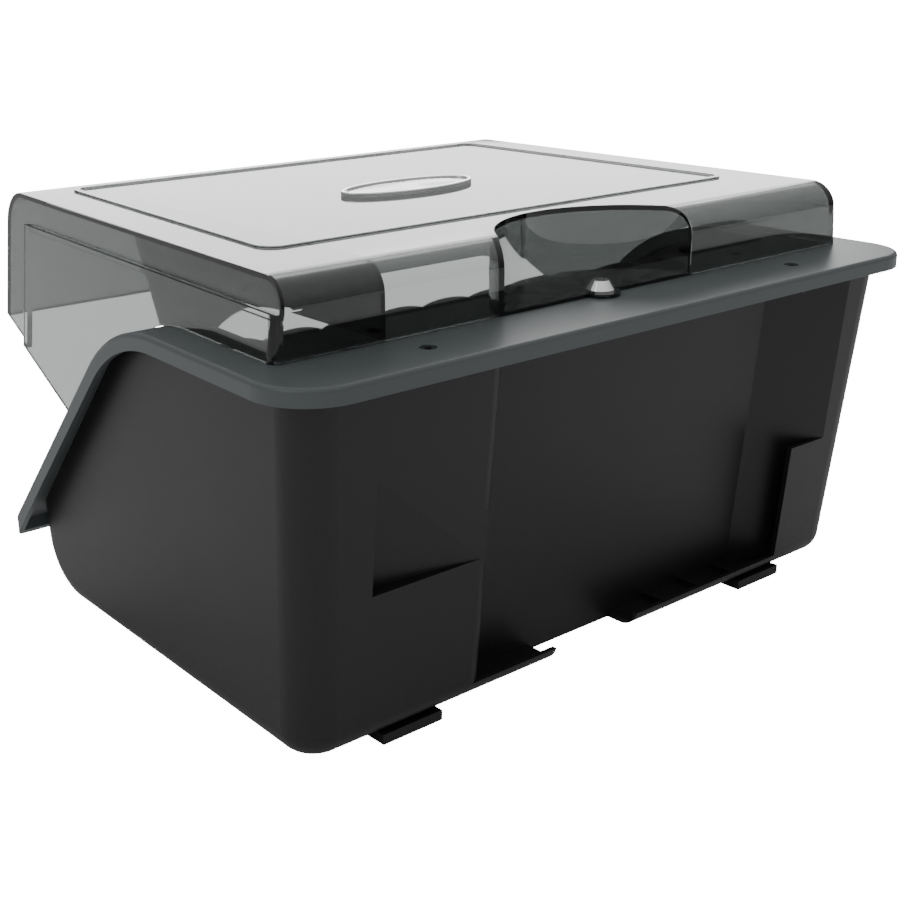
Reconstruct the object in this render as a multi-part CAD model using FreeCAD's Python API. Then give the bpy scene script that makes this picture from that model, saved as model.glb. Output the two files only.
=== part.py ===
import FreeCAD, Part
import math
import os

# Hopper-front storage bin with a smoked lift-off hood.
# Millimetres.  +Z is up, the hopper mouth faces -Y, the mounting side faces +Y.
# The origin is on the floor, under the middle of the whole object.

V = FreeCAD.Vector

# ---- driving dimensions -------------------------------------------------------
foot_height = 6.0          # pads under the bin
wall = 3.0                 # moulded wall of bin, collar and hood

collar_rear_width = 428.6
bin_base_rear_width = collar_rear_width - 40.6
bin_base_front_width = collar_rear_width - 60.6
bin_top_rear_width = collar_rear_width - 24.6
bin_top_front_width = collar_rear_width - 44.6
bin_base_rear_y = 133.5
bin_top_rear_y = 150.5
bin_front_y = -124.0
bin_corner_radius = 18.0
bin_front_radius = 34.0    # big curve between floor and front wall
bin_base_edge_radius = 12.0

collar_underside_z = 180.5
collar_height = 8.0
collar_front_width = collar_rear_width - 32.6
collar_rear_y = 162.5
collar_front_y = -131.0
collar_corner_radius = 28.0   # rear corners
collar_lip_radius = 4.0    # front corners, at the lip
collar_edge_radius = 2.2
bend_y = 47.5              # where the level deck starts to fall
bend_radius = 86.0
fall_angle = 45.0
mouth_rear_y = 87.5        # rear edge of the mouth in the deck
mouth_rear_width = collar_rear_width - 76.6
mouth_front_width = collar_rear_width - 98.6
mouth_front_y = -106.0
mouth_corner_radius = 10.0

rear_recess = 20.0         # depth of the mounting recess behind the bin wall
recess_left_x = 88.0
recess_right_x = -122.0    # the deep wall ends here and a slanted wall runs out
recess_edge_x = 24.5 - bin_base_rear_width / 2   # to the rear skin here
recess_edge_radius = 9.0   # rounded edge between the left pod and the recess
recess_corner_radius = 3.0
low_panel_x = recess_edge_x + 29.5   # low panel that closes the slanted part of the recess
low_panel_z = 82.0
shelf_gap_left_x = 38.0
shelf_gap_right_x = -22.0
shelf_lip_height = 9.0     # upstand along the outer edge of the recess floor
shelf_rib_height = 3.0
shelf_rib_count = 3
pod_inner_x = 96.0         # shallow recess in the rear skin beside the window
pod_outer_x = bin_base_rear_width / 2 - 34.0
pod_low_z = 82.5
pod_high_z = 138.0
pod_recess_depth = 7.0

hood_foot_rear_width = collar_rear_width - 39.6
hood_foot_front_width = collar_rear_width - 76.6
hood_rear_y = 121.8
hood_front_y = -162.5
hood_top_z = 223.5         # at the rear
hood_top_front_z = 223.5
hood_corner_radius = 4.5   # upright rear edges
hood_side_draft = 0.107    # run-in of the side per millimetre of height
hood_rear_top_radius = 14.0
hood_front_top_radius = 17.0
hood_mouth_z = 155.5       # lower edge of the front flap
hood_side_meets_collar_y = -62.5
hood_step = 3.0            # the skirt stands this far out from the upper part
hood_step_z = 209.0
hood_step_front_y = -132.5
hood_clearance = 0.3       # curved edges stay this far above the collar
panel_margin = 25.0        # raised panel on the hood top
panel_height = 1.0
panel_rim = 3.0
panel_corner_radius = 10.0
pocket_width = 131.2       # finger pocket in the rear of the hood
pocket_depth = 45.0
pocket_floor_thickness = 1.8
pocket_tongue_diameter = 20.0   # floor carried out round the fastener

partition_x = 134.0
partition_thickness = 2.5
partition_top_front_y = -90.5
partition_low_front_y = -71.5

tab_length = 10.0
tab_y = 79.5
tab_drop = 2.5
tab_inset = 0.2
tab_thinning = 0.4         # each face of the tab, from the hood wall
slot_floor_share = 0.8     # room under the tab, as a share of its side clearance
slot_clearance = 0.5

lock_y = 120.5
stud_diameter = 6.0
stud_head_diameter = 14.0
stud_head_top_diameter = 8.4
stud_head_height = 5.5
stud_flange_height = 1.0
stud_hole_clearance = 0.06
lock_pin_diameter = 2.5
lock_pin_length = 11.0
lock_slot_clearance = 0.6
plate_size = 24.0
plate_thickness = 1.5
spanner_hole_diameter = 1.6
spanner_hole_spacing = 4.4
spanner_hole_depth = 2.5
plate_rear_reach = 5.0     # plate behind the stud
pin_gap = 0.5              # under the plate
tip_length = 2.0           # stud below its pin

divider_count = 10
divider_pitch = 32.7
divider_thickness = 2.5
divider_drop = 4.5         # the dividers stop this far under the deck
divider_front_y = -67.5
divider_rear_gap = 1.0
divider_slot_play = 0.1
rail_depth = 8.0
rail_height = 14.0
rail_web = 2.0             # rail left under each divider
rear_rail_z = 150.0
floor_rail_y = -47.5

rim_screw_x = 127.0
rim_screw_y = 140.0
rim_screw_diameter = 4.0
rim_screw_head_diameter = 8.0
rim_screw_length = 9.0
screw_head_height = 2.0
screw_head_sink = 0.6      # below the collar's top face
boss_diameter = 9.0
boss_height = 11.0

foot_length = 36.0
foot_depth = 14.0
foot_x = 130.0
foot_rear_y = 124.5
foot_front_y = -59.5

emblem_length = 88.0
emblem_width = 36.0
emblem_x = 4.0
emblem_y = -20.5
emblem_height = 2.6
emblem_rim = 2.6
emblem_face_thickness = 0.8
emblem_face_drop = 0.8     # the face lies this far below the rim

os.makedirs("parts", exist_ok=True)

base_z = foot_height
collar_top_z = collar_underside_z + collar_height
plate_z = collar_top_z - wall          # underside of the collar's top plate
fall = math.radians(fall_angle)


# ---- helpers ------------------------------------------------------------------
def save(shape, name):
    shape.exportStep("parts/" + name + ".step")


def box(x0, x1, y0, y1, z0, z1):
    return Part.makeBox(x1 - x0, y1 - y0, z1 - z0, V(x0, y0, z0))


def rod(x, y, z0, z1, diameter):
    return Part.makeCylinder(diameter / 2, z1 - z0, V(x, y, z0))


def fillet_corners(points, radii):
    """Closed wire through the points, each corner rounded by its own radius."""
    edges = []
    count = len(points)
    tangents = []
    for i, p in enumerate(points):
        before = (points[i - 1] - p).normalize()
        after = (points[(i + 1) % count] - p).normalize()
        r = radii[i]
        if r <= 0:
            tangents.append((p, None, p))
            continue
        half = before.getAngle(after) / 2
        run = r / math.tan(half)
        middle = (before + after).normalize() * (r / math.sin(half) - r)
        tangents.append((p + before * run, p + middle, p + after * run))
    for i in range(count):
        start, mid, end = tangents[i]
        if mid is not None:
            edges.append(Part.Arc(start, mid, end).toShape())
        following = tangents[(i + 1) % count][0]
        if (following - end).Length > 1e-6:
            edges.append(Part.LineSegment(end, following).toShape())
    return Part.Wire(edges)


def plan_wire(rear_width, front_width, rear_y, front_y, z, rear_radius, front_radius):
    """A trapezium seen from above, wide at the rear, with round corners."""
    corners = [V(rear_width / 2, rear_y, z), V(-rear_width / 2, rear_y, z),
               V(-front_width / 2, front_y, z), V(front_width / 2, front_y, z)]
    return fillet_corners(corners, [rear_radius, rear_radius, front_radius, front_radius])


def plan_prism(rear_width, front_width, rear_y, front_y, rear_radius, front_radius, z0, z1):
    wire = plan_wire(rear_width, front_width, rear_y, front_y, z0, rear_radius, front_radius)
    return Part.Face(wire).extrude(V(0, 0, z1 - z0))


def deck_curve(offset, rear_y, front_y):
    """Level deck, bend and fall, raised by offset along its own normal."""
    radius = bend_radius + offset
    centre = V(0, bend_y, collar_underside_z - bend_radius)
    level_z = collar_underside_z + offset
    middle = V(0, centre.y - radius * math.sin(fall / 2), centre.z + radius * math.cos(fall / 2))
    end = V(0, centre.y - radius * math.sin(fall), centre.z + radius * math.cos(fall))
    front_z = end.z - (end.y - front_y) * math.tan(fall)
    edges = [Part.LineSegment(V(0, rear_y, level_z), V(0, bend_y, level_z)).toShape(),
             Part.Arc(V(0, bend_y, level_z), middle, end).toShape(),
             Part.LineSegment(end, V(0, front_y, front_z)).toShape()]
    return edges, V(0, rear_y, level_z), V(0, front_y, front_z)


def across(edges, half_width):
    """Side-view outline carried across the whole width."""
    wire = Part.Wire(edges)
    face = Part.Face(wire)
    solid = face.extrude(V(2 * half_width, 0, 0))
    solid.translate(V(-half_width, 0, 0))
    return solid


def deck_band(low, high, rear_y=400.0, front_y=-400.0):
    """Everything between two offsets of the deck curve."""
    lower, low_rear, low_front = deck_curve(low, rear_y, front_y)
    upper, high_rear, high_front = deck_curve(high, rear_y, front_y)
    edges = lower + [Part.LineSegment(low_front, high_front).toShape()]
    edges += upper + [Part.LineSegment(high_rear, low_rear).toShape()]
    return across(Part.__sortEdges__(edges), 400.0)


def under_deck(offset, front_y=-400.0, floor_z=-400.0):
    """Everything below one offset of the deck curve."""
    upper, rear, front = deck_curve(offset, 400.0, front_y)
    low_rear = V(0, rear.y, floor_z)
    low_front = V(0, front.y, min(floor_z, front.z - 1))
    edges = upper + [Part.LineSegment(front, low_front).toShape(),
                     Part.LineSegment(low_front, low_rear).toShape(),
                     Part.LineSegment(low_rear, rear).toShape()]
    return across(Part.__sortEdges__(edges), 400.0)


def fuse_all(shapes):
    result = shapes[0]
    for shape in shapes[1:]:
        result = result.fuse(shape)
    return result.removeSplitter()


def face_normal(face):
    u0, u1, v0, v1 = face.ParameterRange
    return face.normalAt((u0 + u1) / 2, (v0 + v1) / 2)


def looks_up(normal):
    return normal.z > 0.5


def looks_sideways(normal):
    return abs(normal.z) < 0.2


def edges_between(shape, first, second):
    """Edges where a face that passes the first test meets one that passes the second."""
    found = []
    for edge in shape.Edges:
        normals = [face_normal(face) for face in shape.Faces
                   if any(other.isSame(edge) for other in face.Edges)]
        if len(normals) == 2 and (first(normals[0]) and second(normals[1])
                                  or first(normals[1]) and second(normals[0])):
            found.append(edge)
    return found


# ---- bin ----------------------------------------------------------------------
bin_height = collar_top_z - base_z


def bin_loft(inset, rear_inset, floor_z):
    """Drafted bin outline, shrunk by inset at the sides and front."""
    def at(z):
        t = (z - base_z) / bin_height
        rear_width = bin_base_rear_width + t * (bin_top_rear_width - bin_base_rear_width)
        front_width = bin_base_front_width + t * (bin_top_front_width - bin_base_front_width)
        return plan_wire(rear_width - 2 * inset, front_width - 2 * inset,
                         rear_plane_y(z) - rear_inset, bin_front_y + inset, z,
                         bin_corner_radius - inset, 0)
    return Part.makeLoft([at(floor_z), at(collar_top_z)], True, True)


def floor_prism(floor_z, inset):
    """Side view of the bin: flat floor, rising round the front curve."""
    radius = bin_front_radius - inset
    centre = V(0, bin_front_y + bin_front_radius, base_z + bin_front_radius)
    low = V(0, centre.y, centre.z - radius)
    middle = V(0, centre.y - radius * math.sin(math.pi / 4), centre.z - radius * math.cos(math.pi / 4))
    high = V(0, centre.y - radius, centre.z)
    edges = [Part.Arc(low, middle, high).toShape(),
             Part.LineSegment(high, V(0, high.y, 400)).toShape(),
             Part.LineSegment(V(0, high.y, 400), V(0, 400, 400)).toShape(),
             Part.LineSegment(V(0, 400, 400), V(0, 400, low.z)).toShape(),
             Part.LineSegment(V(0, 400, low.z), low).toShape()]
    return across(edges, 400.0)


def rear_plane_y(z):
    t = (z - base_z) / bin_height
    return bin_base_rear_y + t * (bin_top_rear_y - bin_base_rear_y)


def tub(inset, floor_z):
    """The bin's outline with round bottom edges, shrunk by inset all over."""
    solid = bin_loft(inset, inset, floor_z).common(floor_prism(floor_z, inset))
    side_bottoms = [edge for edge in solid.Edges
                    if edge.BoundBox.ZMax < floor_z + 0.01 and edge.BoundBox.YLength > bin_front_radius
                    and edge.BoundBox.XLength < bin_base_rear_width / 2]
    return solid.makeFillet(bin_base_edge_radius - inset, side_bottoms)


def rear_prism(outline, radii, z0, z1):
    """Prism that leans with the rear skin; outline gives x and depth in front of the skin."""
    points = [V(x, rear_plane_y(z0) - depth, z0) for x, depth in outline]
    lean = V(0, rear_plane_y(z1) - rear_plane_y(z0), z1 - z0)
    return Part.Face(fillet_corners(points, radii)).extrude(lean)


def recess(grow, z0, z1):
    """The mounting recess: deep level wall, slanted wall, left edge rolled over; grown by grow."""
    left, deep = recess_left_x + grow, rear_recess + grow
    slant = (recess_right_x - recess_edge_x) / rear_recess
    right, edge = recess_right_x - grow / 2, recess_edge_x - grow * slant
    roll, beyond = recess_edge_radius - grow, 30.0
    outline = [(left + beyond, -beyond), (left + beyond, grow), (left, grow), (left, deep), (right, deep),
               (edge, grow), (edge, -beyond)]
    return rear_prism(outline, [0, 0, roll, recess_corner_radius, recess_corner_radius, 0, 0], z0, z1)


lip_top_z = base_z + shelf_lip_height
bin_outer = tub(0, base_z)
bin_cavity = tub(wall, base_z + wall).cut(recess(wall, base_z - wall, 400))
skin = bin_outer.cut(bin_loft(-50, wall, base_z))
low_panel = rear_prism([(recess_edge_x - 5, -20), (recess_edge_x - 5, wall), (low_panel_x, wall),
                        (low_panel_x, -20)], [0, 0, 0, 0], base_z, low_panel_z).common(skin)
floor_lip = skin.common(box(-200, recess_left_x + recess_edge_radius, 0, 200, base_z, lip_top_z))
bin_body = bin_outer.common(under_deck(collar_height - wall)).cut(bin_cavity)
bin_body = bin_body.cut(recess(0, base_z + wall, 400).cut(low_panel).cut(floor_lip))

# ribs across the recess floor, right of the gap
ribs = []
rib_pitch = (shelf_gap_right_x - low_panel_x) / (shelf_rib_count + 1)
for i in range(shelf_rib_count):
    x = shelf_gap_right_x - (i + 1) * rib_pitch
    ribs.append(box(x - wall / 2, x + wall / 2, 0, 200, base_z, base_z + wall + shelf_rib_height)
                .common(recess(0, base_z, 400)).common(bin_outer))

# bosses for the collar screws
boss_holes = []
for side in (1, -1):
    x = side * rim_screw_x
    boss = rod(x, rim_screw_y, plate_z - boss_height, plate_z, boss_diameter)
    web = box(x - wall / 2, x + wall / 2, rim_screw_y - boss_diameter, rim_screw_y + boss_diameter,
              plate_z - boss_height, plate_z).common(bin_outer)
    root = box(x - wall / 2, x + wall / 2, rim_screw_y - 3 * boss_diameter, rim_screw_y,
               plate_z - boss_height, plate_z).common(bin_outer).cut(bin_cavity)
    ribs += [boss, web] + root.Solids
    boss_holes.append(rod(x, rim_screw_y, plate_z - rim_screw_length, plate_z + 1, rim_screw_diameter))
bin_body = fuse_all([bin_body] + ribs)
shelf_gap = box(shelf_gap_right_x, shelf_gap_left_x, 0, 200, 0, lip_top_z + 1)
bin_body = bin_body.cut(shelf_gap.cut(bin_loft(-50, rear_recess, base_z - 1)))
for hole in boss_holes:
    bin_body = bin_body.cut(hole)


def pod_wedge(grow):
    """Recess in the rear skin, deepest at its lower outer corner, fading out upwards."""
    x0, x1, z0 = pod_inner_x - grow, pod_outer_x + grow, pod_low_z - grow
    rear = rear_plane_y(pod_low_z)
    foot = Part.makePolygon([V(x1, rear - pod_recess_depth - grow, z0), V(x1, rear + rear_recess, z0),
                             V(x0, rear + rear_recess, z0), V(x0, rear - grow, z0),
                             V(x1, rear - pod_recess_depth - grow, z0)])
    rise = pod_high_z + grow - z0
    run = rear_plane_y(pod_high_z) - rear + pod_recess_depth
    return Part.Face(foot).extrude(V(0, run, rise))


backing = pod_wedge(wall).common(bin_outer)
bin_body = bin_body.fuse(backing).removeSplitter().cut(pod_wedge(0))
save(bin_body, "bin_body")


# ---- collar -------------------------------------------------------------------
def collar_prism(inset):
    return plan_prism(collar_rear_width - 2 * inset, collar_front_width - 2 * inset, collar_rear_y - inset,
                      collar_front_y + inset, collar_corner_radius - inset, collar_lip_radius - inset, 0, 400)


def mouth_prism(outset):
    radius = mouth_corner_radius + outset
    return plan_prism(mouth_rear_width + 2 * outset, mouth_front_width + 2 * outset,
                      mouth_rear_y + outset, mouth_front_y - outset, radius, radius, 0, 400)


collar = deck_band(0, collar_height).common(collar_prism(0))
collar = collar.makeFillet(collar_edge_radius, edges_between(collar, looks_up, looks_sideways))
channel = deck_band(-50, collar_height - wall).common(collar_prism(wall)).cut(mouth_prism(wall))
collar = collar.cut(mouth_prism(0)).cut(channel)


def hood_half_width(y, z):
    """Outer half width of the hood's skirt."""
    t = (hood_rear_y - y) / (hood_rear_y - hood_front_y)
    foot = hood_foot_rear_width / 2 + t * (hood_foot_front_width - hood_foot_rear_width) / 2
    return foot - (z - collar_top_z) * hood_side_draft


def tab(side, gap):
    """Locating tab under the hood's side, grown by gap on every side for its slot."""
    outer = hood_half_width(tab_y + tab_length / 2, collar_top_z) - tab_inset
    x0, x1 = outer - wall + tab_thinning - gap, outer - tab_thinning + gap
    low = collar_top_z - tab_drop - gap * slot_floor_share
    high = collar_top_z + wall + gap
    if side > 0:
        return box(x0, x1, tab_y - gap, tab_y + tab_length + gap, low, high)
    return box(-x1, -x0, tab_y - gap, tab_y + tab_length + gap, low, high)


for side in (1, -1):
    collar = collar.cut(tab(side, slot_clearance))
    head_z = collar_top_z - screw_head_sink
    head = Part.makeCone(rim_screw_diameter / 2, rim_screw_head_diameter / 2, screw_head_height,
                         V(side * rim_screw_x, rim_screw_y, head_z - screw_head_height))
    sink = rod(side * rim_screw_x, rim_screw_y, head_z, collar_top_z + 1, rim_screw_head_diameter)
    collar = collar.cut(head).cut(sink)
    collar = collar.cut(rod(side * rim_screw_x, rim_screw_y, plate_z - 1, collar_top_z, rim_screw_diameter))
slot_length = lock_pin_length + lock_slot_clearance
slot_width = lock_pin_diameter + lock_slot_clearance


def keyhole(z0, z1):
    round_part = rod(0, lock_y, z0, z1, stud_diameter + lock_slot_clearance)
    return round_part.fuse(box(-slot_length / 2, slot_length / 2, lock_y - slot_width / 2,
                               lock_y + slot_width / 2, z0, z1))


collar = collar.cut(keyhole(plate_z - 1, collar_top_z + 1))
save(collar, "collar")


# ---- hood ---------------------------------------------------------------------
def hood_loft(inset, step_out):
    """Drafted hood outline with crisp sides, shrunk by inset at the sides."""
    low_z, high_z = 40.0, hood_top_z + 36.5
    reach = 30.0

    def at(z):
        run_in = (z - collar_top_z) * hood_side_draft + inset - step_out
        taper = (hood_foot_rear_width - hood_foot_front_width) / 2 / (hood_rear_y - hood_front_y)
        rear = hood_foot_rear_width / 2 + taper * reach - run_in
        front = hood_foot_front_width / 2 - taper * reach - run_in
        return Part.makePolygon([V(rear, hood_rear_y + reach, z), V(-rear, hood_rear_y + reach, z),
                                 V(-front, hood_front_y - reach, z), V(front, hood_front_y - reach, z),
                                 V(rear, hood_rear_y + reach, z)])
    return Part.makeLoft([at(low_z), at(high_z)], True, True)


def hood_side_view(inset, open_below=False):
    """Side view of the hood, shrunk by inset; open below, it runs straight down past everything."""
    rear, front = hood_rear_y - inset, hood_front_y + inset
    top_rear, top_front = hood_top_z - inset, hood_top_front_z - inset
    meets_z = collar_underside_z - (bend_y - bend_radius * math.sin(fall) - hood_side_meets_collar_y) \
        - bend_radius * (1 - math.cos(fall)) + collar_height / math.cos(fall)
    low_z = -50.0
    points = [V(0, rear, top_rear), V(0, front, top_front)]
    if open_below:
        points += [V(0, front, low_z), V(0, rear, low_z)]
    else:
        points += [V(0, front, hood_mouth_z), V(0, hood_side_meets_collar_y, meets_z), V(0, rear, low_z)]
    radii = [hood_rear_top_radius - inset, hood_front_top_radius - inset] + [0] * (len(points) - 2)
    solid = Part.Face(fillet_corners(points, radii)).extrude(V(800, 0, 0))
    solid.translate(V(-400, 0, 0))
    return solid


def skirt_zone(inset):
    return box(-300, 300, hood_step_front_y + inset, 300, -50, hood_step_z - inset)


hood_outer_outline = hood_loft(hood_step, 0).fuse(hood_loft(0, 0).common(skirt_zone(0)))
hood_inner_outline = hood_loft(hood_step + wall, 0).fuse(hood_loft(wall, 0).common(skirt_zone(wall)))
hood_block = hood_side_view(0).cut(under_deck(collar_height + hood_clearance)).common(hood_outer_outline)
upright_rear_edges = [edge for edge in hood_block.Edges
                      if abs(edge.BoundBox.YMax - hood_rear_y) < 0.01 and edge.BoundBox.YLength < 0.01
                      and edge.BoundBox.XLength < 5 and edge.BoundBox.ZLength > hood_step]
hood_block = hood_block.makeFillet(hood_corner_radius, upright_rear_edges)
hood_void = hood_side_view(wall, True).common(hood_inner_outline)

pocket_sagitta_radius = ((pocket_width / 2) ** 2 + pocket_depth ** 2) / (2 * pocket_depth)
pocket_y = hood_rear_y - pocket_depth + pocket_sagitta_radius


def pocket_rod(outset, z0):
    return Part.makeCylinder(pocket_sagitta_radius + outset, 300, V(0, pocket_y, z0))


floor_z = collar_top_z
pocket_block = pocket_rod(wall, floor_z).common(hood_block)
floor_top_z = floor_z + pocket_floor_thickness
pocket_floor = pocket_rod(wall, floor_z).common(box(-200, 200, -200, hood_rear_y, floor_z, floor_top_z))
pocket_floor = pocket_floor.fuse(rod(0, lock_y, floor_z, floor_top_z, pocket_tongue_diameter))
hood = hood_block.cut(hood_void).fuse(pocket_block).fuse(pocket_floor)
hood = hood.cut(pocket_rod(0, floor_top_z))
for side in (1, -1):
    hood = hood.fuse(tab(side, 0))

# raised panel on the hood top, ringed by a low rounded bead
panel_rear_y = hood_rear_y - pocket_depth - 8.0
panel_front_y = hood_front_y + panel_margin


def panel_width(y):
    return 2 * (hood_half_width(y, hood_top_z) - hood_step - panel_margin)


def panel_prism(inset, z0, z1):
    radius = panel_corner_radius - inset
    return plan_prism(panel_width(panel_rear_y) - 2 * inset, panel_width(panel_front_y) - 2 * inset,
                      panel_rear_y - inset, panel_front_y + inset, radius, radius, z0, z1)


bead = panel_prism(0, hood_top_z - wall / 2, hood_top_front_z + wall)
bead = bead.cut(panel_prism(panel_rim, hood_top_z - wall, hood_top_front_z + 2 * wall))
bead = bead.common(hood_side_view(-panel_height, True))
hood = hood.fuse(bead).removeSplitter()
stud_hole = stud_diameter + 2 * stud_hole_clearance
hood = hood.cut(rod(0, lock_y, floor_z - 1, floor_top_z + 1, stud_hole))
save(hood, "hood")

# end-bay partition inside the hood, parallel to its side
partition_profile = hood_side_view(wall, True).common(
    box(partition_x, partition_x + partition_thickness, -400, 400, -50, 400))
partition_profile = partition_profile.cut(under_deck(collar_height + 2 * hood_clearance))
lean = (partition_low_front_y - partition_top_front_y) / (hood_top_z - collar_underside_z)
front_cut = Part.makePolygon([V(0, y, z) for y, z in (
    (partition_top_front_y, hood_top_z), (partition_top_front_y + lean * hood_top_z, 0), (-400, 0),
    (-400, hood_top_z), (partition_top_front_y, hood_top_z))])
front_cut = Part.Face(front_cut).extrude(V(400, 0, 0))
hood_partition = partition_profile.cut(front_cut)
save(hood_partition, "hood_partition")

# ---- emblem -------------------------------------------------------------------


def oval(length, width, z0, z1):
    ellipse = Part.Ellipse(V(emblem_x, emblem_y, z0), length / 2, width / 2)
    return Part.Face(Part.Wire(ellipse.toShape())).extrude(V(0, 0, z1 - z0))


top_slope = (hood_top_front_z - hood_top_z) / (hood_rear_y - hood_front_y)
emblem_z = hood_top_z + (hood_rear_y - emblem_y) * top_slope
face_z = emblem_z + emblem_height - emblem_face_drop
face_length, face_width = emblem_length - 2 * emblem_rim, emblem_width - 2 * emblem_rim
emblem_bezel = oval(emblem_length, emblem_width, emblem_z, emblem_z + emblem_height)
emblem_bezel = emblem_bezel.cut(oval(face_length, face_width, face_z - emblem_face_thickness,
                                     emblem_z + 2 * emblem_height))
emblem_bezel = emblem_bezel.makeFillet(emblem_rim / 4, [
    edge for edge in emblem_bezel.Edges if edge.BoundBox.ZMin > emblem_z + emblem_height - 0.01])
emblem_face = oval(face_length, face_width, face_z - emblem_face_thickness, face_z)
for piece, name in ((emblem_bezel, "emblem_bezel"), (emblem_face, "emblem_face")):
    piece.rotate(V(emblem_x, emblem_y, emblem_z), V(1, 0, 0), -math.degrees(math.atan(top_slope)))
    save(piece, name)

# ---- lock ---------------------------------------------------------------------
stud_seat_z = floor_top_z
stud_head = Part.makeCone(stud_head_diameter / 2, stud_head_top_diameter / 2, stud_head_height - stud_flange_height,
                          V(0, lock_y, stud_seat_z + stud_flange_height))
stud_flange = rod(0, lock_y, stud_seat_z, stud_seat_z + stud_flange_height, stud_head_diameter)
pin_z = plate_z - plate_thickness - lock_pin_diameter / 2 - pin_gap
stud_tip_z = pin_z - lock_pin_diameter / 2 - tip_length
lock_stud = stud_flange.fuse(stud_head).fuse(rod(0, lock_y, stud_tip_z, stud_seat_z, stud_diameter))
lock_stud = lock_stud.removeSplitter()
for side in (1, -1):
    lock_stud = lock_stud.cut(rod(side * spanner_hole_spacing / 2, lock_y,
                                  stud_seat_z + stud_head_height - spanner_hole_depth,
                                  stud_seat_z + stud_head_height + 1, spanner_hole_diameter))
pin_bore = Part.makeCylinder(lock_pin_diameter / 2, 40, V(-20, lock_y, pin_z), V(1, 0, 0))
lock_stud = lock_stud.cut(pin_bore)
lock_pin = Part.makeCylinder(lock_pin_diameter / 2, lock_pin_length,
                             V(-lock_pin_length / 2, lock_y, pin_z), V(1, 0, 0))
save(lock_stud, "lock_stud")
save(lock_pin, "lock_pin")

lock_plate = box(-plate_size / 2, plate_size / 2, lock_y - plate_size / 2, lock_y + plate_rear_reach,
                 plate_z - plate_thickness, plate_z)
lock_plate = lock_plate.cut(keyhole(plate_z - plate_thickness - 1, plate_z + 1))
save(lock_plate, "lock_plate")

# ---- collar screws ------------------------------------------------------------
rim_screws = []
for side in (1, -1):
    shank_top = collar_top_z - screw_head_sink - screw_head_height
    screw = rod(side * rim_screw_x, rim_screw_y, plate_z - rim_screw_length, shank_top, rim_screw_diameter)
    cone = Part.makeCone(rim_screw_diameter / 2, rim_screw_head_diameter / 2, screw_head_height,
                         V(side * rim_screw_x, rim_screw_y, shank_top))
    screw = screw.fuse(cone).removeSplitter()
    for turn in (0, 90):
        slot = box(-2.0, 2.0, -0.5, 0.5, shank_top + 0.8, shank_top + 3)
        slot.rotate(V(0, 0, 0), V(0, 0, 1), turn)
        slot.translate(V(side * rim_screw_x, rim_screw_y, 0))
        screw = screw.cut(slot)
    rim_screws.append(screw)
save(Part.makeCompound(rim_screws), "collar_screws")

# ---- dividers -----------------------------------------------------------------
rail_span = divider_pitch * divider_count / 2 + 6.0
rear_rail = box(-rail_span, rail_span, 0, 200, rear_rail_z, rear_rail_z + rail_height)
rear_rail = rear_rail.common(bin_loft(wall, rear_recess + wall, base_z))
rear_rail = rear_rail.cut(bin_loft(-50, rear_recess + wall + rail_depth, base_z))
floor_rail = box(-rail_span, rail_span, floor_rail_y, floor_rail_y + rail_depth,
                 base_z + wall, base_z + wall + rail_height)
divider_block = bin_cavity.common(under_deck(-divider_drop))
divider_block = divider_block.common(bin_loft(-50, rear_recess + wall + divider_rear_gap, base_z))
divider_block = divider_block.common(box(-300, 300, divider_front_y, 300, -50, 400))
rail_web_z = base_z + wall + rail_web
divider_block = divider_block.cut(box(-300, 300, floor_rail_y - divider_slot_play,
                                      floor_rail_y + rail_depth + divider_slot_play, 0, rail_web_z))
for i in range(divider_count):
    x = (i - (divider_count - 1) / 2) * divider_pitch
    blade = divider_block.common(box(x - divider_thickness / 2, x + divider_thickness / 2,
                                     -400, 400, -50, 400))
    save(blade, "divider_%02d" % (i + 1))
    half = divider_thickness / 2 + divider_slot_play / 2
    groove = box(x - half, x + half, -400, 400, -50, 400)
    rear_rail = rear_rail.cut(groove.common(bin_loft(-50, rear_recess + wall + divider_rear_gap, base_z)))
    floor_rail = floor_rail.cut(box(x - half, x + half, floor_rail_y - 1, floor_rail_y + rail_depth + 1,
                                    rail_web_z, 400))
save(rear_rail, "divider_rail_rear")
save(floor_rail, "divider_rail_floor")

# ---- feet ---------------------------------------------------------------------
for name, y in (("feet_rear", foot_rear_y), ("feet_front", foot_front_y)):
    pads = [box(side * foot_x - foot_length / 2, side * foot_x + foot_length / 2,
                y - foot_depth / 2, y + foot_depth / 2, 0, base_z) for side in (1, -1)]
    pads = [pad.makeFillet(1.5, [e for e in pad.Edges if e.BoundBox.ZMax < 0.01]) for pad in pads]
    save(Part.makeCompound(pads), name)
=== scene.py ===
import math

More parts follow.
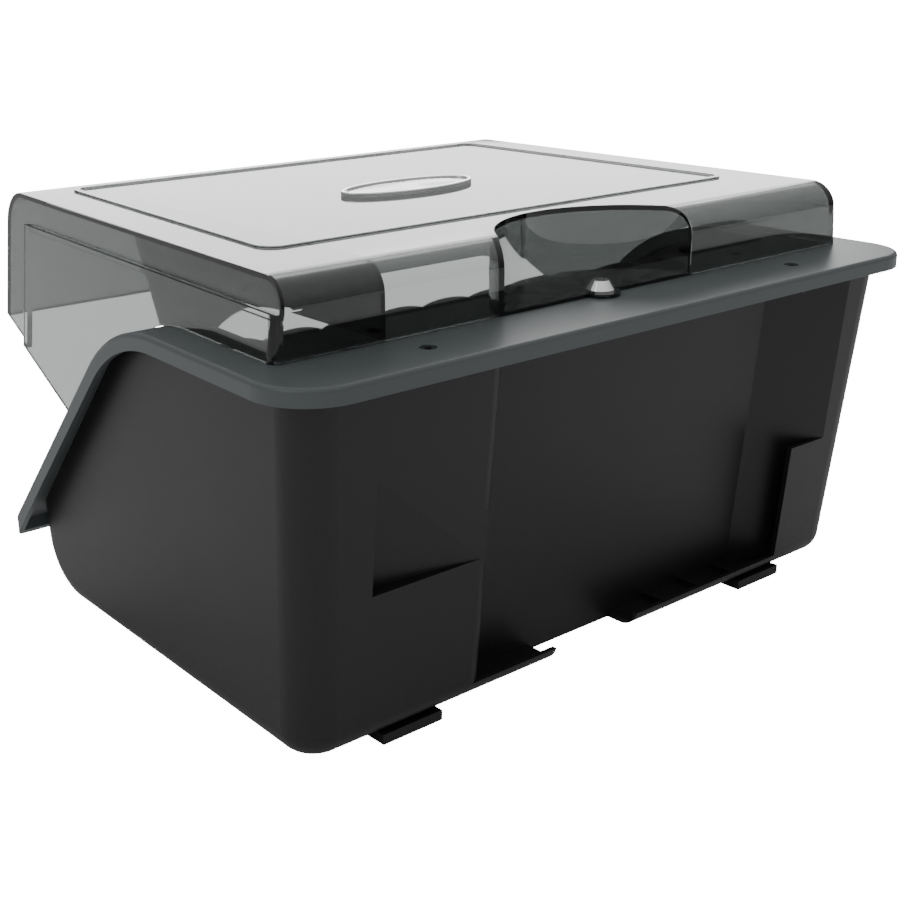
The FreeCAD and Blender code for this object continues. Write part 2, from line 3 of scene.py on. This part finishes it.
import bmesh
import bpy
import numpy as np
from bpy.props import FloatProperty, FloatVectorProperty, PointerProperty
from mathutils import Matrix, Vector


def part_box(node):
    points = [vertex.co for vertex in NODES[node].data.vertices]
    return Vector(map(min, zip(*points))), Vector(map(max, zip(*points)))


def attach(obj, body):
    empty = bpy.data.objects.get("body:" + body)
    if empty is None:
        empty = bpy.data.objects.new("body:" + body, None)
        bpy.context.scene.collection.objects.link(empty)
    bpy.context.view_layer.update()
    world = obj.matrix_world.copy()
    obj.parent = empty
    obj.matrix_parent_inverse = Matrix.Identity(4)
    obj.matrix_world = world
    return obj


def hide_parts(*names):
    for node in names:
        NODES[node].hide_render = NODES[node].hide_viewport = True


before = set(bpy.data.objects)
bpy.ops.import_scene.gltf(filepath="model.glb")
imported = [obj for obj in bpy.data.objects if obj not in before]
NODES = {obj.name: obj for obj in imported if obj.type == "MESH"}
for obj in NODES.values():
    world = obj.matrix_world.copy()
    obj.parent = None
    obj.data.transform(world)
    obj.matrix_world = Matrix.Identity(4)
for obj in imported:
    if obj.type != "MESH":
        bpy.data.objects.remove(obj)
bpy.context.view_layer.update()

bl_info = {
    "name": "Hopper bin with smoked hood",
    "version": (1, 0, 0),
    "blender": (4, 5, 0),
    "location": "View3D > Sidebar > Hopper bin",
    "description": "Finishes for a hopper-front storage bin: moulded plastics, smoked hood, chrome trim",
    "category": "Object",
}

# emblem face, in metres
FACE_DROP = 0.0004         # edge of the dome below the top of the CAD face
FACE_CROWN = 0.0008        # rise of the dome
FLUTE_HEIGHT = 0.0002
FLUTE_PITCH = 0.0036
FLUTE_REACH = 0.86         # the flutes end at this share of the way out
FLUTE_FADE = 0.08          # and die away over this share
ROUND_STEPS = 96
OUTWARD_STEPS = 40

# camera and surroundings
CAMERA_PLACE = (0.51875, 0.59922, 0.35184)
CAMERA_BEARING = 221.345   # degrees from +Y towards +X
CAMERA_PITCH = -19.144
SENSOR_WIDTH = 36.0        # mm
FLOOR_REACH = 12.0
SKY_LEVEL = 0.22           # brightness at the horizon, as light on the object
SKY_RISE = 0.75            # added towards the zenith
MIDDLE = (0, 0, 0.1)
LAMPS = (                  # name, place, width, height, watts
    ("far_softbox", (-1.6, -1.9, 1.1), 2.2, 1.2, 30),
    ("near_softbox", (2.2, 0.4, 1.6), 1.4, 1.4, 8),
)


# ---- settings -----------------------------------------------------------------
class BIN_PG_plastic(bpy.types.PropertyGroup):
    """Colours and grain of the opaque mouldings."""
    bin_colour: FloatVectorProperty(
        name="Bin colour", description="Black of the bin, its rails and feet", subtype="COLOR",
        size=4, min=0, max=1, default=(0.0085, 0.0085, 0.0087, 1))
    divider_colour: FloatVectorProperty(
        name="Divider colour", description="Black of the dividers", subtype="COLOR",
        size=4, min=0, max=1, default=(0.0090, 0.0090, 0.0092, 1))
    collar_colour: FloatVectorProperty(
        name="Collar colour", description="Blue-grey of the collar", subtype="COLOR",
        size=4, min=0, max=1, default=(0.072, 0.083, 0.086, 1))
    grain_size: FloatProperty(
        name="Grain size", description="Width of one pip of the moulded grain", subtype="DISTANCE",
        unit="LENGTH", min=0.0001, max=0.005, default=0.0009)
    grain_depth: FloatProperty(
        name="Grain depth", description="Height of the moulded grain", subtype="DISTANCE",
        unit="LENGTH", min=0, max=0.001, default=0.00003)


class BIN_PG_hood(bpy.types.PropertyGroup):
    """Tint and gloss of the smoked hood, and the painted shade on its partition."""
    tint: FloatVectorProperty(
        name="Tint", description="Colour that the smoked plastic lets through", subtype="COLOR",
        size=4, min=0, max=1, default=(0.165, 0.175, 0.170, 1))
    # The partition's near-black tint is painted shade: it stands in for the dark patch seen through the
    # hood's near-left corner.
    partition_painted_shade: FloatVectorProperty(
        name="Partition painted shade", description="Near-black painted shade on the end-bay partition", subtype="COLOR",
        size=4, min=0, max=1, default=(0.012, 0.013, 0.0125, 1))
    roughness: FloatProperty(
        name="Roughness", description="Roughness of the polished faces", min=0, max=1, default=0.03)
    index: FloatProperty(
        name="Refractive index", description="Refractive index of the plastic", min=1, max=2,
        default=1.49)


class BIN_PG_stage(bpy.types.PropertyGroup):
    """Floor, light and camera."""
    floor_colour: FloatVectorProperty(
        name="Floor colour", description="Pale floor", subtype="COLOR", size=4, min=0, max=1,
        default=(0.86, 0.86, 0.86, 1))
    light_strength: FloatProperty(
        name="Light", description="Scales every lamp together", min=0, max=10, default=1.0)
    backdrop: FloatProperty(
        name="Backdrop", description="How bright the white surroundings look straight on", min=0,
        max=50, default=16.0)
    through: FloatProperty(
        name="Through the hood", description="How bright the surroundings look through the hood",
        min=0, max=20, default=2.2)
    lens: FloatProperty(
        name="Lens", description="Focal length in millimetres on a 36 mm sensor", min=10, max=300,
        default=58.85)


# ---- node helpers -------------------------------------------------------------
def new_material(name):
    """A material with one Principled shader; returns it, its nodes, its links and the shader."""
    material = bpy.data.materials.new(name)
    material.use_nodes = True
    tree = material.node_tree
    return material, tree.nodes, tree.links, tree.nodes["Principled BSDF"]


def set_sockets(node, **values):
    """Sets a node's input sockets; an underscore in a name stands for a space."""
    for name, value in values.items():
        node.inputs[name.replace("_", " ")].default_value = value


def new_group(name, inputs, outputs):
    """An empty shader node group with typed sockets; returns the group and its two end nodes."""
    group = bpy.data.node_groups.new(name, "ShaderNodeTree")
    for label, kind, default in inputs:
        socket = group.interface.new_socket(name=label, in_out="INPUT", socket_type=kind)
        socket.default_value = default
    for label, kind in outputs:
        group.interface.new_socket(name=label, in_out="OUTPUT", socket_type=kind)
    start = group.nodes.new("NodeGroupInput")
    end = group.nodes.new("NodeGroupOutput")
    return group, start, end


def math_node(nodes, operation, first=0.0, second=0.0, third=0.0):
    """A Math node with plain numbers in its sockets."""
    node = nodes.new("ShaderNodeMath")
    node.operation = operation
    for socket, value in zip(node.inputs, (first, second, third)):
        socket.default_value = value
    return node


def moulded_grain_group():
    """Fine spark-eroded grain with slow drifts in shine and shade, from Object coordinates."""
    if "Moulded grain" in bpy.data.node_groups:
        return bpy.data.node_groups["Moulded grain"]
    group, start, end = new_group(
        "Moulded grain",
        [("Colour", "NodeSocketColor", (0.5, 0.5, 0.5, 1)),
         ("Pips per metre", "NodeSocketFloat", 1000.0),
         ("Roughness", "NodeSocketFloat", 0.5),
         ("Roughness drift", "NodeSocketFloat", 0.08),
         ("Shade drift", "NodeSocketFloat", 0.1)],
        [("Colour", "NodeSocketColor"), ("Roughness", "NodeSocketFloat"), ("Height", "NodeSocketFloat")])
    nodes, links = group.nodes, group.links
    place = nodes.new("ShaderNodeTexCoord")
    grain = nodes.new("ShaderNodeTexNoise")
    set_sockets(grain, Detail=3.0, Roughness=0.6)
    links.new(place.outputs["Object"], grain.inputs["Vector"])
    links.new(start.outputs["Pips per metre"], grain.inputs["Scale"])
    links.new(grain.outputs["Fac"], end.inputs["Height"])
    drift = nodes.new("ShaderNodeTexNoise")
    set_sockets(drift, Scale=9.0, Detail=4.0, Roughness=0.55)
    links.new(place.outputs["Object"], drift.inputs["Vector"])
    centred = math_node(nodes, "SUBTRACT", second=0.5)
    links.new(drift.outputs["Fac"], centred.inputs[0])
    swing = math_node(nodes, "MULTIPLY")
    links.new(centred.outputs[0], swing.inputs[0])
    links.new(start.outputs["Roughness drift"], swing.inputs[1])
    total = math_node(nodes, "ADD")
    links.new(swing.outputs[0], total.inputs[0])
    links.new(start.outputs["Roughness"], total.inputs[1])
    links.new(total.outputs[0], end.inputs["Roughness"])
    shade = math_node(nodes, "MULTIPLY")
    links.new(centred.outputs[0], shade.inputs[0])
    links.new(start.outputs["Shade drift"], shade.inputs[1])
    level = math_node(nodes, "ADD", second=1.0)
    links.new(shade.outputs[0], level.inputs[0])
    tinted = nodes.new("ShaderNodeVectorMath")
    tinted.operation = "SCALE"
    links.new(start.outputs["Colour"], tinted.inputs[0])
    links.new(level.outputs[0], tinted.inputs["Scale"])
    links.new(tinted.outputs[0], end.inputs["Colour"])
    return group


def moulded_plastic(name, colour, roughness, grain_size, grain_depth, drift=0.08):
    """Matte or satin moulded plastic with a fine grain."""
    material, nodes, links, shader = new_material(name)
    set_sockets(shader, IOR=1.45)
    grain = nodes.new("ShaderNodeGroup")
    grain.node_tree = moulded_grain_group()
    set_sockets(grain, Colour=colour, Roughness=roughness, Pips_per_metre=1 / grain_size,
                Roughness_drift=drift)
    bump = nodes.new("ShaderNodeBump")
    set_sockets(bump, Strength=1.0, Distance=grain_depth)
    links.new(grain.outputs["Colour"], shader.inputs["Base Color"])
    links.new(grain.outputs["Roughness"], shader.inputs["Roughness"])
    links.new(grain.outputs["Height"], bump.inputs["Height"])
    links.new(bump.outputs["Normal"], shader.inputs["Normal"])
    return material


def smoked_plastic(name, tint, roughness, index):
    """Clear smoked sheet: tinted transmission and a polished face whose tint and shine drift faintly."""
    material, nodes, links, shader = new_material(name)
    set_sockets(shader, Metallic=0.0, Transmission_Weight=1.0, IOR=index)
    smoke = nodes.new("ShaderNodeGroup")
    smoke.node_tree = moulded_grain_group()
    set_sockets(smoke, Colour=tint, Roughness=roughness, Pips_per_metre=60.0,
                Roughness_drift=0.02, Shade_drift=0.05)
    links.new(smoke.outputs["Colour"], shader.inputs["Base Color"])
    links.new(smoke.outputs["Roughness"], shader.inputs["Roughness"])
    return material


def bright_metal(name, colour, roughness, streak=0.05):
    """Plated or ground metal whose shine drifts a little along fine polishing marks."""
    material, nodes, links, shader = new_material(name)
    set_sockets(shader, Metallic=1.0)
    polish = nodes.new("ShaderNodeGroup")
    polish.node_tree = moulded_grain_group()
    set_sockets(polish, Colour=colour, Roughness=roughness, Pips_per_metre=2500.0,
                Roughness_drift=streak, Shade_drift=0.06)
    bump = nodes.new("ShaderNodeBump")
    set_sockets(bump, Strength=0.4, Distance=0.00001)
    links.new(polish.outputs["Colour"], shader.inputs["Base Color"])
    links.new(polish.outputs["Roughness"], shader.inputs["Roughness"])
    links.new(polish.outputs["Height"], bump.inputs["Height"])
    links.new(bump.outputs["Normal"], shader.inputs["Normal"])
    return material


def dress(material, *names):
    """Gives CAD nodes a material."""
    for name in names:
        slots = NODES[name].data.materials
        slots.clear()
        slots.append(material)


# ---- meshes -------------------------------------------------------------------
def grid_mesh(name, points, close_u, close_v):
    """A mesh object from points laid out as rows and columns, either way closed or open."""
    rows, columns = points.shape[:2]
    index = np.arange(rows * columns).reshape(rows, columns)
    if close_u:
        index = np.vstack([index, index[:1]])
    if close_v:
        index = np.hstack([index, index[:, :1]])
    quads = np.stack([index[:-1, :-1], index[:-1, 1:], index[1:, 1:], index[1:, :-1]], axis=-1)
    mesh = bpy.data.meshes.new(name)
    mesh.from_pydata(points.reshape(-1, 3).tolist(), [], quads.reshape(-1, 4).tolist())
    mesh.polygons.foreach_set("use_smooth", np.ones(len(mesh.polygons), bool))
    piece = bpy.data.objects.new(name, mesh)
    bpy.context.scene.collection.objects.link(piece)
    return piece


def emblem_cushion(name, corners):
    """Domed oval of plain flutes that fills the emblem's rim.

    The two parameters are an angle round the oval and a share of the way out from its middle.
    Across and along, a point lies at the share times the half length and half width, turned by the
    angle. Its height is the crown times one minus the share squared, plus a flute that follows the
    cosine of the distance along the oval and dies away at the rim. The last two columns turn down
    the rim and close the underside.
    """
    (x0, y0, z0), (x1, y1, z1) = corners
    angle = np.linspace(0, 2 * np.pi, ROUND_STEPS, endpoint=False)[:, None]
    share = np.concatenate([np.linspace(0, 1, OUTWARD_STEPS), [1.0, 0.0]])[None, :]
    x = (x0 + x1) / 2 + (x1 - x0) / 2 * share * np.cos(angle)
    y = (y0 + y1) / 2 + (y1 - y0) / 2 * share * np.sin(angle)
    fade = np.clip((FLUTE_REACH - share) / FLUTE_FADE, 0, 1)
    dome = z1 - FACE_DROP + FACE_CROWN * (1 - share ** 2)
    top = dome + FLUTE_HEIGHT * fade * np.cos(2 * np.pi * x / FLUTE_PITCH)
    under = np.arange(OUTWARD_STEPS + 2)[None, :] >= OUTWARD_STEPS
    z = np.where(under, z0, top)
    piece = grid_mesh(name, np.stack([x, y, z], axis=-1), True, False)
    edit = bmesh.new()
    edit.from_mesh(piece.data)
    bmesh.ops.remove_doubles(edit, verts=edit.verts, dist=1e-7)
    bmesh.ops.recalc_face_normals(edit, faces=edit.faces)
    edit.to_mesh(piece.data)
    edit.free()
    return piece


# ---- operators ----------------------------------------------------------------
class BIN_OT_mouldings(bpy.types.Operator):
    """Black grained plastic on the bin, its feet, rails and dividers"""
    bl_idname = "hopperbin.mouldings"
    bl_label = "Finish the mouldings"

    def execute(self, context):
        plastic = context.scene.hopper_plastic
        black = moulded_plastic("Black grained plastic", plastic.bin_colour, 0.42,
                                plastic.grain_size, plastic.grain_depth)
        dress(black, "bin_body", "feet_rear", "feet_front", "divider_rail_rear", "divider_rail_floor")
        slate = moulded_plastic("Divider plastic", plastic.divider_colour, 0.5,
                                plastic.grain_size, plastic.grain_depth)
        dress(slate, *[name for name in NODES if name.startswith("divider_") and "rail" not in name])
        return {"FINISHED"}


class BIN_OT_collar(bpy.types.Operator):
    """Blue-grey satin plastic on the collar, black screws in its ledge"""
    bl_idname = "hopperbin.collar"
    bl_label = "Finish the collar"

    def execute(self, context):
        plastic = context.scene.hopper_plastic
        grey = moulded_plastic("Blue-grey satin plastic", plastic.collar_colour, 0.40,
                               plastic.grain_size, plastic.grain_depth)
        dress(grey, "collar")
        dress(bright_metal("Black oxide steel", (0.05, 0.05, 0.05, 1), 0.45), "collar_screws")
        return {"FINISHED"}


class BIN_OT_hood(bpy.types.Operator):
    """Smoked clear plastic on the hood, near-black smoked plastic as painted shade on its partition"""
    bl_idname = "hopperbin.hood"
    bl_label = "Finish the hood"

    def execute(self, context):
        hood = context.scene.hopper_hood
        smoke = smoked_plastic("Smoked clear plastic", hood.tint, hood.roughness, hood.index)
        dress(smoke, "hood")
        # The partition gets a near-black tint as painted shade for the dark patch seen through the
        # hood's near-left corner.
        painted_shade = smoked_plastic("Smoked plastic darkened as painted shade", hood.partition_painted_shade, hood.roughness, hood.index)
        dress(painted_shade, "hood_partition")
        return {"FINISHED"}


class BIN_OT_hardware(bpy.types.Operator):
    """Bright metal on the emblem, the lock and its plate"""
    bl_idname = "hopperbin.hardware"
    bl_label = "Finish the hardware"

    def execute(self, context):
        chrome = bright_metal("Bright chrome", (0.86, 0.86, 0.87, 1), 0.04, 0.02)
        dress(chrome, "emblem_bezel", "lock_stud")
        cushion = emblem_cushion("emblem_cushion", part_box("emblem_face"))
        cushion.data.materials.append(bright_metal("Satin chrome", (0.70, 0.70, 0.71, 1), 0.16))
        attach(cushion, "hood")
        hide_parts("emblem_face")
        dress(bright_metal("Zinc plated steel", (0.5, 0.5, 0.51, 1), 0.3), "lock_pin", "lock_plate")
        return {"FINISHED"}


def brightness(tree, straight, through):
    """A brightness, raised for what is seen straight on or through the hood, and its base socket."""
    path = tree.nodes.new("ShaderNodeLightPath")
    level = math_node(tree.nodes, "MULTIPLY_ADD", second=straight)
    tree.links.new(path.outputs["Is Camera Ray"], level.inputs[0])
    deeper = math_node(tree.nodes, "MULTIPLY_ADD", second=through)
    tree.links.new(path.outputs["Is Transmission Ray"], deeper.inputs[0])
    tree.links.new(level.outputs[0], deeper.inputs[2])
    return deeper.outputs[0], level.inputs[2]


def add_lamp(name, place, target, width, height, power):
    """A soft rectangular lamp at place, turned towards target."""
    light = bpy.data.lights.new(name, "AREA")
    light.shape = "RECTANGLE"
    light.size, light.size_y = width, height
    light.energy = power
    lamp = bpy.data.objects.new(name, light)
    lamp.visible_transmission = False
    bpy.context.scene.collection.objects.link(lamp)
    lamp.location = place
    lamp.rotation_euler = (Vector(target) - Vector(place)).to_track_quat("-Z", "Y").to_euler()
    return lamp


class BIN_OT_stage(bpy.types.Operator):
    """Pale floor, soft studio lamps and the camera"""
    bl_idname = "hopperbin.stage"
    bl_label = "Set the stage"

    def execute(self, context):
        stage = context.scene.hopper_stage
        along = np.array([-FLOOR_REACH, FLOOR_REACH])
        y, x = np.meshgrid(along, along, indexing="ij")
        floor = grid_mesh("stage_floor", np.stack([x, y, np.zeros_like(x)], axis=-1), False, False)
        pale, nodes, links, shader = new_material("Pale floor")
        set_sockets(shader, Base_Color=stage.floor_colour, Roughness=0.7, Emission_Color=(1, 1, 1, 1))
        glow = brightness(pale.node_tree, stage.backdrop, stage.through)[0]
        links.new(glow, shader.inputs["Emission Strength"])
        floor.data.materials.append(pale)
        world = bpy.data.worlds.new("Studio")
        world.use_nodes = True
        tree = world.node_tree
        place = tree.nodes.new("ShaderNodeTexCoord")
        parts = tree.nodes.new("ShaderNodeSeparateXYZ")
        tree.links.new(place.outputs["Generated"], parts.inputs[0])
        upward = math_node(tree.nodes, "MAXIMUM")
        tree.links.new(parts.outputs["Z"], upward.inputs[0])
        dome = math_node(tree.nodes, "MULTIPLY_ADD", second=SKY_RISE, third=SKY_LEVEL)
        tree.links.new(upward.outputs[0], dome.inputs[0])
        sky, base = brightness(tree, stage.backdrop, stage.through)
        tree.links.new(dome.outputs[0], base)
        tree.links.new(sky, tree.nodes["Background"].inputs["Strength"])
        set_sockets(tree.nodes["Background"], Color=(1, 1, 1, 1))
        context.scene.world = world
        for name, place, width, height, watts in LAMPS:
            add_lamp(name, place, MIDDLE, width, height, watts * stage.light_strength)
        camera_data = bpy.data.cameras.new("camera")
        camera_data.lens = stage.lens
        camera_data.sensor_width = SENSOR_WIDTH
        camera_data.clip_start, camera_data.clip_end = 0.01, 100
        camera = bpy.data.objects.new("camera", camera_data)
        context.scene.collection.objects.link(camera)
        camera.location = CAMERA_PLACE
        bearing, pitch = math.radians(CAMERA_BEARING), math.radians(CAMERA_PITCH)
        ahead = Vector((math.sin(bearing) * math.cos(pitch), math.cos(bearing) * math.cos(pitch),
                        math.sin(pitch)))
        camera.rotation_euler = ahead.to_track_quat("-Z", "Y").to_euler()
        context.scene.camera = camera
        return {"FINISHED"}


class BIN_PT_panel(bpy.types.Panel):
    """The steps in order, with their settings"""
    bl_idname = "BIN_PT_panel"
    bl_label = "Hopper bin"
    bl_space_type = "VIEW_3D"
    bl_region_type = "UI"
    bl_category = "Hopper bin"

    def draw(self, context):
        for setting in SETTINGS:
            group = getattr(context.scene, setting)
            box = self.layout.box()
            for name in group.__annotations__:
                box.prop(group, name)
        for operator in STEPS:
            self.layout.operator(operator.bl_idname)


STEPS = (BIN_OT_mouldings, BIN_OT_collar, BIN_OT_hood, BIN_OT_hardware, BIN_OT_stage)
SETTINGS = {
    "hopper_plastic": BIN_PG_plastic,
    "hopper_hood": BIN_PG_hood,
    "hopper_stage": BIN_PG_stage,
}
CLASSES = tuple(SETTINGS.values()) + STEPS + (BIN_PT_panel,)


def register():
    for each in CLASSES:
        bpy.utils.register_class(each)
    for name, group in SETTINGS.items():
        setattr(bpy.types.Scene, name, PointerProperty(type=group))


def unregister():
    for name in SETTINGS:
        delattr(bpy.types.Scene, name)
    for each in reversed(CLASSES):
        bpy.utils.unregister_class(each)


def main():
    register()
    bpy.ops.hopperbin.mouldings()
    bpy.ops.hopperbin.collar()
    bpy.ops.hopperbin.hood()
    bpy.ops.hopperbin.hardware()
    bpy.ops.hopperbin.stage()


if __name__ == "__main__":
    main()
